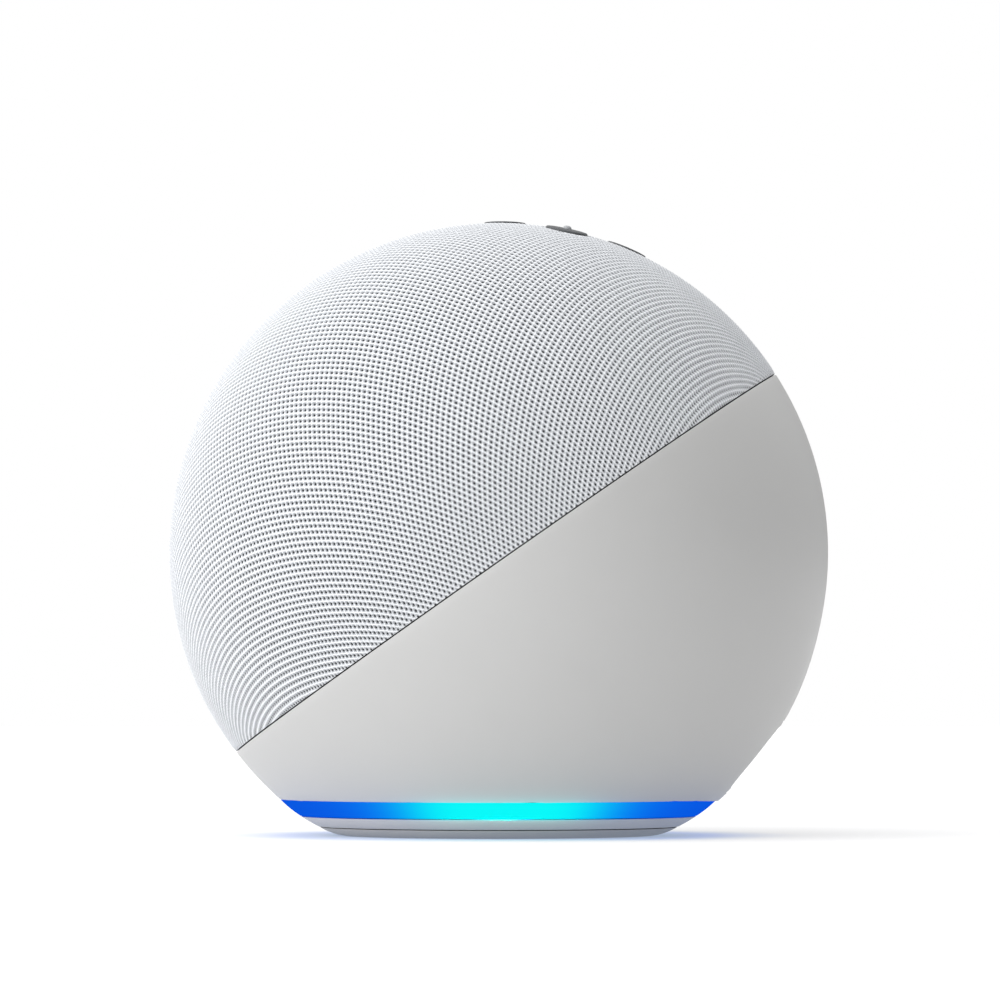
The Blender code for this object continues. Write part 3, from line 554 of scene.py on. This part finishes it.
def net_points(steps):
    """The net's points on the ball, half a stitch apart, and which of them the cloth has."""
    i, j = (grid.ravel() for grid in np.meshgrid(steps, steps, indexing="ij"))
    first, second = i / 2 + HOLE_OFFSET[0], j / 2 + HOLE_OFFSET[1]
    u, v = (first + second) * STITCH_U, (first - second) * STITCH_V
    reach = np.hypot(u, v)
    kept = reach < CLOTH_REACH + SPARE
    u, v, reach, i, j = u[kept], v[kept], np.maximum(reach[kept], 1e-9), i[kept], j[kept]
    hole, knot = (i % 2 == 0) & (j % 2 == 0), (i % 2 == 1) & (j % 2 == 1)
    fade = np.clip((CLOTH_REACH - reach) / RIM_FADE, 0, 1)
    radius = BALL_R + fade * (KNOT_RISE * knot - HOLE_DEPTH * hole) - RIM_SINK * (1 - fade)
    polar = reach / BALL_R
    ways = np.stack([np.sin(polar) * u / reach, np.sin(polar) * v / reach, np.cos(polar)], 1)
    return ways * radius[:, None], kept


def net_faces(steps, points, kept):
    """Triangles between the net's points, whose diagonals join threads and so frame each hole and knot."""
    index = np.full(len(kept), -1)
    index[kept] = np.arange(kept.sum())
    corner = np.arange(len(kept)).reshape(len(steps), len(steps))
    a, b, c, d = (x.ravel() for x in (corner[:-1, :-1], corner[1:, :-1], corner[1:, 1:], corner[:-1, 1:]))
    even = (np.add.outer(steps[:-1], steps[:-1]) % 2 == 0).ravel()
    faces = np.concatenate([
        np.stack([a, b, d], 1)[even], np.stack([b, c, d], 1)[even],
        np.stack([a, b, c], 1)[~even], np.stack([a, c, d], 1)[~even],
    ])
    faces = index[faces]
    faces = faces[(faces >= 0).all(1)]
    first, second, third = (points[faces[:, k]] for k in range(3))
    inward = np.einsum("ij,ij->i", np.cross(second - first, third - first), first) < 0
    faces[inward] = faces[inward][:, ::-1]
    return faces


def stitches(points):
    """The net's coordinates of points in the dome's frame, in mm."""
    around = np.hypot(points[:, 0], points[:, 1])
    polar = np.arctan2(around, points[:, 2])
    reach = polar * BALL_R / np.maximum(around, 1e-9)
    u, v = points[:, 0] * reach, points[:, 1] * reach
    first, second = u / STITCH_U + v / STITCH_V, u / STITCH_U - v / STITCH_V
    return np.stack([first, second], 1) / 2 - np.array(HOLE_OFFSET)


def near(place, axis, radius):
    """Whether a place is within a radius of an axis that leaves the ball's middle."""
    return place.dot(axis) > 0 and place.cross(axis).length < radius * MM


def circle(edges, axis, radius, height):
    """Moves the ends of edges to a radius from an axis through the origin and a height along it."""
    for point in {end for edge in edges for end in edge.verts}:
        out = (point.co - axis * point.co.dot(axis)).normalized()
        point.co = (out * radius + axis * height) * MM


def hem(shape, edges, axis, radius, height, tucks):
    """Brings an edge of the cloth onto a circle about an axis and turns it in. Each tuck is how far the
    next ring lies outward and along the axis from that circle."""
    circle(edges, axis, radius, height)
    for outward, along in tucks:
        made = bmesh.ops.extrude_edge_only(shape, edges=edges)["geom"]
        edges = [part for part in made if isinstance(part, bmesh.types.BMEdge) and part.is_boundary]
        circle(edges, axis, radius + outward, height + along)


def hemmed(mesh):
    """Cuts the net off at the seam and round the buttons and turns all of its edges in."""
    shape = bmesh.new()
    shape.from_mesh(mesh)
    bmesh.ops.bisect_plane(
        shape, geom=shape.verts[:] + shape.edges[:] + shape.faces[:], plane_co=(0, 0, RIM_H * MM),
        plane_no=(0, 0, -1), clear_outer=True,
    )
    pole = Vector((0, 0, 1))
    axes = [(DOME.inverted() @ matrix).to_3x3() @ pole for matrix in BUTTON_AXES.values()]
    for axis in axes:
        gone = [point for point in shape.verts if near(point.co, axis, BUTTON_HOLE_R)]
        bmesh.ops.delete(shape, geom=gone, context="VERTS")
    loose = [point for point in shape.verts if not point.link_faces]
    bmesh.ops.delete(shape, geom=loose, context="VERTS")

    seam, rims = [], [[] for axis in axes]
    for edge in [edge for edge in shape.edges if edge.is_boundary]:
        middle = (edge.verts[0].co + edge.verts[1].co) / 2
        rim = [rims[k] for k, axis in enumerate(axes) if near(middle, axis, HEM_WAY)]
        (rim[0] if rim else seam).append(edge)
    hem(shape, seam, pole, math.sqrt((BALL_R - RIM_SINK) ** 2 - RIM_H**2), RIM_H, SEAM_TUCKS)
    for axis, rim in zip(axes, rims):
        hem(shape, rim, axis, BUTTON_HOLE_R, math.sqrt(BALL_R**2 - BUTTON_HOLE_R**2), BUTTON_TUCKS)
    bmesh.ops.recalc_face_normals(shape, faces=shape.faces)
    top = max(shape.faces, key=lambda face: face.calc_center_median().z)
    if top.normal.z < 0:
        bmesh.ops.reverse_faces(shape, faces=shape.faces[:])
    shape.to_mesh(mesh)
    shape.free()


def fabric_cover():
    """The net as a mesh whose vertices are its holes, its knots and the threads between them."""
    count = int((CLOTH_REACH + SPARE) * math.hypot(1 / STITCH_U, 1 / STITCH_V)) + 4
    steps = np.arange(-count, count + 1)
    points, kept = net_points(steps)
    mesh = bpy.data.meshes.new("fabric_cover")
    mesh.from_pydata((points * MM).tolist(), [], net_faces(steps, points, kept).tolist())
    hemmed(mesh)
    where = np.empty(len(mesh.vertices) * 3)
    mesh.vertices.foreach_get("co", where)
    loops = np.empty(len(mesh.loops), dtype=np.int64)
    mesh.loops.foreach_get("vertex_index", loops)
    net = stitches(where.reshape(-1, 3) / MM)
    mesh.uv_layers.new(name="stitches").data.foreach_set("uv", net[loops].ravel())
    cover = bpy.data.objects.new("fabric_cover_knit", mesh)
    bpy.context.scene.collection.objects.link(cover)
    return put(cover, DOME)


cover = dressed(fabric_cover(), "white_knit", replaces=["fabric_cover"], smooth=False)


# ---------------------------------------------------------------- the rear shell

EDGE_R = 0.25  # the rounding that a moulded edge has
SOCKET_WAY = turn("X", -38.5) @ Vector((0, 1, 0))  # from the ball's middle, so many degrees below level
SWELL, SWELL_FULL, SWELL_END = 0.45, 9.0, 28.0  # mm, and degrees from that way
RIM, RIM_GAP = 1.5, 0.05  # the recess's own rim lies in a wider opening of the shell


def swollen(x, y, z):
    """How far the skin lies from the ball's middle toward a point: it swells gently round the sockets."""
    apart = math.degrees(Vector((x, y, z)).angle(SOCKET_WAY))
    share = min(max((SWELL_END - apart) / (SWELL_END - SWELL_FULL), 0.0), 1.0)
    return BALL_R + SWELL * share * share * (3 - 2 * share)


def rear_shell():
    """The ball below the seam, cut level over the light ring, walled and cut through for the sockets."""
    shell = primitive(
        "uv_sphere", "rear_shell_moulding", segments=SIDES, ring_count=SIDES // 2, radius=BALL_R * MM
    )
    bisect(shell, (0, 0, (SEAM_H - SEAM_GAP / 2) * MM), (0, 0, 1), keep="inner")
    put(shell, DOME)
    bisect(shell, (0, 0, SHELL_BOTTOM * MM), (0, 0, 1), keep="outer")
    middle = Vector((0, 0, BALL_Z * MM))
    for point in shell.data.vertices:
        way = point.co - middle
        point.co = middle + way * (swollen(*way) / BALL_R)
    modify(shell, "SOLIDIFY", thickness=SHELL_T * MM, offset=-1.0, use_even_offset=True)
    rounded(shell, EDGE_R, angle=40.0)
    opening = rounded_block(
        "socket_opening", (RECESS_HALF_X + RIM, RECESS_BOTTOM - RIM, RECESS_TOP + RIM), RECESS_ROUND + RIM
    )
    return cut(shell, opening)


def rounded_block(name, size, rounding):
    """A block out of the back, its four long edges rounded. size is its half width, bottom and top."""
    half, bottom, top = size
    front, back = 90.0, RECESS_BACK - 6.0
    block = primitive(
        "cube", name, size=1.0, location=(0, (front + back) / 2 * MM, (top + bottom) / 2 * MM),
        scale=(2 * half * MM, (front - back) * MM, (top - bottom) * MM),
    )
    bpy.ops.object.mode_set(mode="EDIT")
    bpy.ops.mesh.select_all(action="DESELECT")
    shape = bmesh.from_edit_mesh(block.data)
    for edge in shape.edges:
        edge.select = abs(edge.verts[0].co.y - edge.verts[1].co.y) > MM
    bmesh.update_edit_mesh(block.data)
    bpy.ops.mesh.bevel(offset=rounding * MM, segments=12, affect="EDGES")
    bpy.ops.object.mode_set(mode="OBJECT")
    return block


dressed(rear_shell(), "satin_white_plastic", replaces=["rear_shell"], angle=30.0)


RECESS_WALL = 0.5
# Each jack's way across and up, the radii of its nose, its bore and the hole round it, and how deep it is
JACKS = {
    "power_jack": (POWER_X, POWER_Z, 4.1, 3.1, 4.5, 9.5),
    "audio_jack": (AUDIO_X, AUDIO_Z, 2.8, 1.8, 3.2, 11.0),
}


def socket_recess():
    """The recess's rim, flush with the shell, its walls and its back."""
    middle = (RECESS_BOTTOM + RECESS_TOP) / 2
    half_x, half_z = RECESS_HALF_X, (RECESS_TOP - RECESS_BOTTOM) / 2
    wide = RIM - RIM_GAP
    recess = primitive("plane", "socket_recess", size=2.0, rotation=(math.radians(-90), 0, 0))
    size = Matrix.Diagonal(((half_x + wide) * MM, 1, (half_z + wide) * MM, 1))
    put(recess, Matrix.Translation((0, 0, middle * MM)) @ size)
    alone(recess)
    bpy.ops.object.mode_set(mode="EDIT")
    bpy.ops.mesh.select_all(action="SELECT")
    bpy.ops.mesh.bevel(offset=(RECESS_ROUND + wide) * MM, segments=12, affect="VERTICES")

    def settle(stand=0.0, depth=None):
        """Moves the selected loop so far proud of the shell's skin, or to a distance behind the middle."""
        shape = bmesh.from_edit_mesh(recess.data)
        for point in (p for p in shape.verts if p.select):
            x, z = point.co.x / MM, point.co.z / MM - BALL_Z
            skin = swollen(x, math.sqrt((BALL_R - 1) ** 2 - x**2 - z**2), z) + stand
            point.co.y = (depth or math.sqrt(skin**2 - x**2 - z**2)) * MM
        bmesh.update_edit_mesh(recess.data)

    def narrow(width):
        """Extrudes the face and scales it to a width beyond the hollow."""
        bpy.ops.mesh.extrude_region_move()
        scale = ((half_x + width) / (half_x + wide), 1, (half_z + width) / (half_z + wide))
        bpy.ops.transform.resize(value=scale, center_override=(0, 0, middle * MM))
        return width

    settle(stand=-SHELL_T)
    rim = (
        (wide, -0.15), (wide - 0.06, -0.03), (wide - 0.2, 0.0), (0.9, 0.0), (0.45, -0.02), (0.2, -0.1),
        (0.05, -0.28), (0.0, -0.5), (0.0, -0.9),
    )
    for width, stand in rim:
        wide = narrow(width)
        settle(stand=stand)
    for width, depth in ((-0.12, RECESS_BACK + 0.6), (-0.3, RECESS_BACK + 0.18), (-0.8, RECESS_BACK)):
        wide = narrow(width)
        settle(depth=depth)
    shape = bmesh.from_edit_mesh(recess.data)
    ends = [face for face in shape.faces if len(face.verts) > 8]
    first_face = max(ends, key=lambda face: face.calc_center_median().y)
    bmesh.ops.delete(shape, geom=[first_face], context="FACES_ONLY")
    bmesh.update_edit_mesh(recess.data)
    bpy.ops.object.mode_set(mode="OBJECT")
    modify(recess, "SOLIDIFY", thickness=RECESS_WALL * MM, offset=-1.0)
    holes = [
        primitive(
            "cylinder", "jack_hole", vertices=64, radius=radius * MM, depth=6 * MM,
            location=(x * MM, RECESS_BACK * MM, z * MM), rotation=(math.radians(90), 0, 0),
        )
        for x, z, _, _, radius, _ in JACKS.values()
    ]
    return cut(recess, *holes)


dressed(socket_recess(), "satin_white_plastic", angle=30.0)


# ---------------------------------------------------------------- jacks

JACK_BACKSET = 1.6  # a jack's block ends so far behind the recess's back


def facing_back(name):
    """A frame whose Z points out of the back, at the end of a jack's nose."""
    x, z, *_ = JACKS[name]
    return Matrix.Translation((x * MM, NOSE_END * MM, z * MM)) @ turn("X", -90.0)


def jack(name):
    """A jack's block, and its nose with the open bore."""
    _, _, nose, bore, _, deep = JACKS[name]
    low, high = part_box(name)
    face = (RECESS_BACK - JACK_BACKSET) * MM
    housing = primitive(
        "cube", f"{name}_housing", size=1.0,
        location=((low.x + high.x) / 2, (low.y + face) / 2, (low.z + high.z) / 2),
        scale=(high.x - low.x, face - low.y, high.z - low.z),
    )
    rounded(housing, 0.4)
    profile = [
        (nose, -4.0), (nose, -0.35), (nose - 0.35, 0.0), (bore + 0.3, 0.0), (bore, -0.3), (bore, -deep),
        (0.02, -deep),
    ]
    barrel = turned(f"{name}_barrel", profile, facing_back(name), sides=72)
    dressed(join(housing, barrel), "black_plastic", replaces=[name])


def power_jack_pin():
    """The round contact pin in the middle of the power jack, with a dished end."""
    deep = JACKS["power_jack"][-1]
    profile = [
        (1.0, -deep - 0.5), (1.0, -1.6), (0.9, -1.2), (0.62, -0.95), (0.35, -0.9), (0.3, -1.1), (0.3, -4.0)
    ]
    pin = turned("power_jack_pin", profile, facing_back("power_jack"), sides=40, solid=True)
    dressed(pin, "zinc_plated_steel")


def audio_jack_bush():
    """The plated bush that lines the audio jack's mouth."""
    profile = [
        (2.45, -0.12), (2.45, 0.12), (2.3, 0.2), (1.95, 0.2), (1.78, 0.05), (1.78, -3.0), (2.45, -3.0),
        (2.45, -0.12),
    ]
    dressed(turned("audio_jack_bush", profile, facing_back("audio_jack"), sides=64), "zinc_plated_steel")


jack("power_jack")
power_jack_pin()
jack("audio_jack")
audio_jack_bush()


# ---------------------------------------------------------------- foot, band and light ring

RING_BULGE = 0.15  # how far the light pipe's middle stands out from the ball


def foot_ring():
    """The rubber ring that the speaker stands on."""
    profile = [
        (FOOT_R, FOOT_T), (FOOT_R - 0.9, 1.3), (FOOT_R - 1.8, 0.9), (FOOT_R - 2.9, 0.5), (FOOT_R - 4.0, 0.2),
        (FOOT_FLAT_R, 0.0), (FOOT_IN_R + 0.8, 0.0), (FOOT_IN_R + 0.2, 0.15), (FOOT_IN_R, 0.5),
        (FOOT_IN_R, FOOT_T), (FOOT_R, FOOT_T),
    ]
    dressed(rounded(turned("foot_ring_rubber", profile), 0.12), "grey_rubber", replaces=["foot_ring"])


def base_housing():
    """The band under the light ring, the floor with its shallow groove, and the boss round the insert."""
    bore, boss_r, floor_top = INSERT_R + 0.3, 8.0, 4.0
    groove_in, groove_out, groove_top = 12.0, 22.9, WELL_BOTTOM + 0.25
    profile = [
        (HOUSING_BOTTOM_R, HOUSING_BOTTOM), (HOUSING_BOTTOM_R + 1.95, 3.05),
        (on_ball(HOUSING_TOP), HOUSING_TOP), (RING_IN_R, HOUSING_TOP), (RING_IN_R, floor_top),
        (boss_r, floor_top), (boss_r, INSERT_TOP), (bore, INSERT_TOP), (bore, WELL_BOTTOM),
        (groove_in, WELL_BOTTOM), (groove_in + 0.3, groove_top), (groove_out - 0.3, groove_top),
        (groove_out, WELL_BOTTOM), (FOOT_IN_R - 1.0, WELL_BOTTOM), (FOOT_IN_R - 0.3, HOUSING_BOTTOM),
        (HOUSING_BOTTOM_R, HOUSING_BOTTOM),
    ]
    housing = rounded(turned("base_housing_moulding", profile), 0.1)
    dressed(housing, "warm_grey_plastic", replaces=["base_housing"])


def light_ring():
    """The light pipe, which bulges a little."""
    middle, half = (RING_TOP + RING_BOTTOM) / 2, (RING_TOP - RING_BOTTOM) / 2
    band = ball_band(RING_BOTTOM, RING_TOP, 6)
    profile = [(r + RING_BULGE * (1 - ((z - middle) / half) ** 2), z) for r, z in band]
    profile += [(RING_IN_R, RING_TOP), (RING_IN_R, RING_BOTTOM), profile[0]]
    dressed(rounded(turned("light_ring_diffuser", profile), 0.1), "light_diffuser", replaces=["light_ring"])


foot_ring()
base_housing()
light_ring()


def tripod_insert():
    """A brass insert with a real 1/4 inch thread of 20 turns to the inch."""
    pitch, crest_r, half_tooth = 25.4 / 20, 2.6, 0.55
    end = INSERT_TOP - 1.0
    sleeve = [
        (INSERT_R, INSERT_TOP), (INSERT_R, INSERT_FACE), (INSERT_BORE_R + 0.4, INSERT_FACE),
        (INSERT_BORE_R, INSERT_FACE + 0.4), (INSERT_BORE_R, end), (0.02, end),
    ]
    insert = rounded(turned("tripod_insert_sleeve", sleeve, sides=64), 0.15)
    thread = primitive("circle", "tripod_thread", vertices=3, radius=0.5 * MM, fill_type="NOTHING")
    shape = bmesh.new()
    shape.from_mesh(thread.data)
    start, root_r = INSERT_FACE + 0.6, INSERT_BORE_R + 0.1
    tooth = ((crest_r, 0.0), (root_r, half_tooth), (root_r, -half_tooth))
    for point, (radius, height) in zip(shape.verts, tooth):
        point.co = (radius * MM, 0, (start + height) * MM)
    shape.to_mesh(thread.data)
    shape.free()
    modify(
        thread, "SCREW", axis="Z", screw_offset=pitch * MM, iterations=4, steps=40, render_steps=40,
        use_merge_vertices=False,
    )
    dressed(join(insert, thread), "brass", replaces=["tripod_insert"])


tripod_insert()


# ---------------------------------------------------------------- buttons

SYMBOL_RISE, STROKE, THIN_STROKE = 0.10, 0.55, 0.35
FLANGE_TOP, FLANGE_BOTTOM, FLANGE_WIDTH = 68.0, 67.2, 1.0
CROWN_FALL = 0.008  # per mm: the crown falls by this times the square of the radius


def bar(name, length, turn_by=0.0, middle=(0.0, 0.0), width=STROKE, under=1.0):
    """A rounded stroke of a symbol, sunk in the cap's crown. Its length runs along X before it turns."""
    made = primitive("cube", name, size=1.0, scale=(length * MM, width * MM, (under + SYMBOL_RISE) * MM))
    bpy.ops.object.mode_set(mode="EDIT")
    bpy.ops.mesh.select_all(action="DESELECT")
    shape = bmesh.from_edit_mesh(made.data)
    for edge in shape.edges:
        edge.select = abs(edge.verts[0].co.z - edge.verts[1].co.z) > 0.1 * MM
    bmesh.update_edit_mesh(made.data)
    bpy.ops.mesh.bevel(offset=width * 0.49 * MM, segments=6, affect="EDGES")
    bpy.ops.object.mode_set(mode="OBJECT")
    height = BUTTON_TOP - 0.02 + SYMBOL_RISE - (under + SYMBOL_RISE) / 2
    return put(made, Matrix.Translation((middle[0] * MM, middle[1] * MM, height * MM)) @ turn("Z", turn_by))


def cradle():
    """The half ring under the microphone's capsule."""
    outer, inner, low, high = 1.2, 0.9, BUTTON_TOP - 1.0, BUTTON_TOP + 0.05
    profile = [(outer, low), (outer, high), (inner, high), (inner, low), (outer, low)]
    return bisect(turned("cradle", profile, sides=48), (0, 0.1 * MM, 0), (0, 1, 0), keep="inner")


def symbol(name):
    """The strokes on a cap: minus, plus, or a struck-out microphone."""
    if name == "volume_down":
        return bar("volume_down_symbol", 3.2)
    if name == "volume_up":
        return join(bar("volume_up_symbol", 3.2), bar("upright", 3.2, 90.0))
    capsule = bar("mute_symbol", 2.0, 90.0, (0.0, 0.55), width=1.1)
    stem = bar("stem", 0.8, 90.0, (0.0, -1.35), width=THIN_STROKE)
    foot = bar("foot", 1.4, 0.0, (0.0, -1.75), width=THIN_STROKE)
    slash = bar("slash", 4.4, 50.0, (0.0, 0.0), width=THIN_STROKE)
    return join(capsule, cradle(), stem, foot, slash)


def cap(name, axis):
    """A button's cap, with its flange, its rounded edge and its slightly domed crown."""
    flange_r = BUTTON_R + FLANGE_WIDTH
    profile = [
        (1.2, FLANGE_BOTTOM), (flange_r, FLANGE_BOTTOM), (flange_r, FLANGE_TOP), (BUTTON_R, FLANGE_TOP),
        (BUTTON_R, BUTTON_TOP - 0.42), (BUTTON_R - 0.05, BUTTON_TOP - 0.3),
        (BUTTON_R - 0.22, BUTTON_TOP - 0.19),
    ]
    profile += [(r, BUTTON_TOP - CROWN_FALL * r**2) for r in (3.9, 3.2, 2.4, 1.6, 0.8, 0.15)]
    made = turned(f"{name}_cap", profile, axis, sides=72, solid=True)
    dressed(made, "grey_button_plastic", name, replaces=[f"{name}_button"])


def dot(axis):
    """The raised dot of the action button."""
    rises = ((0.95, -0.6), (0.95, 0.0), (0.92, 0.2), (0.8, 0.42), (0.58, 0.58), (0.3, 0.66), (0.08, 0.68))
    profile = [(radius, BUTTON_TOP + rise) for radius, rise in rises]
    return turned("action_symbol", profile, axis, sides=48, solid=True)


def buttons():
    for name, axis in BUTTON_AXES.items():
        cap(name, axis)
        mark = dot(axis) if name == "action" else put(symbol(name), axis)
        dressed(mark, "raised_dot" if name == "action" else "printed_symbol", name)


buttons()


# ---------------------------------------------------------------- the CAD nodes that stay

for row in frame["record"]["subparts"]:
    node = frame["nodes"][row["node"]]
    node.data.materials.clear()
    node.data.materials.append(MATERIALS[row["material_slot"]])
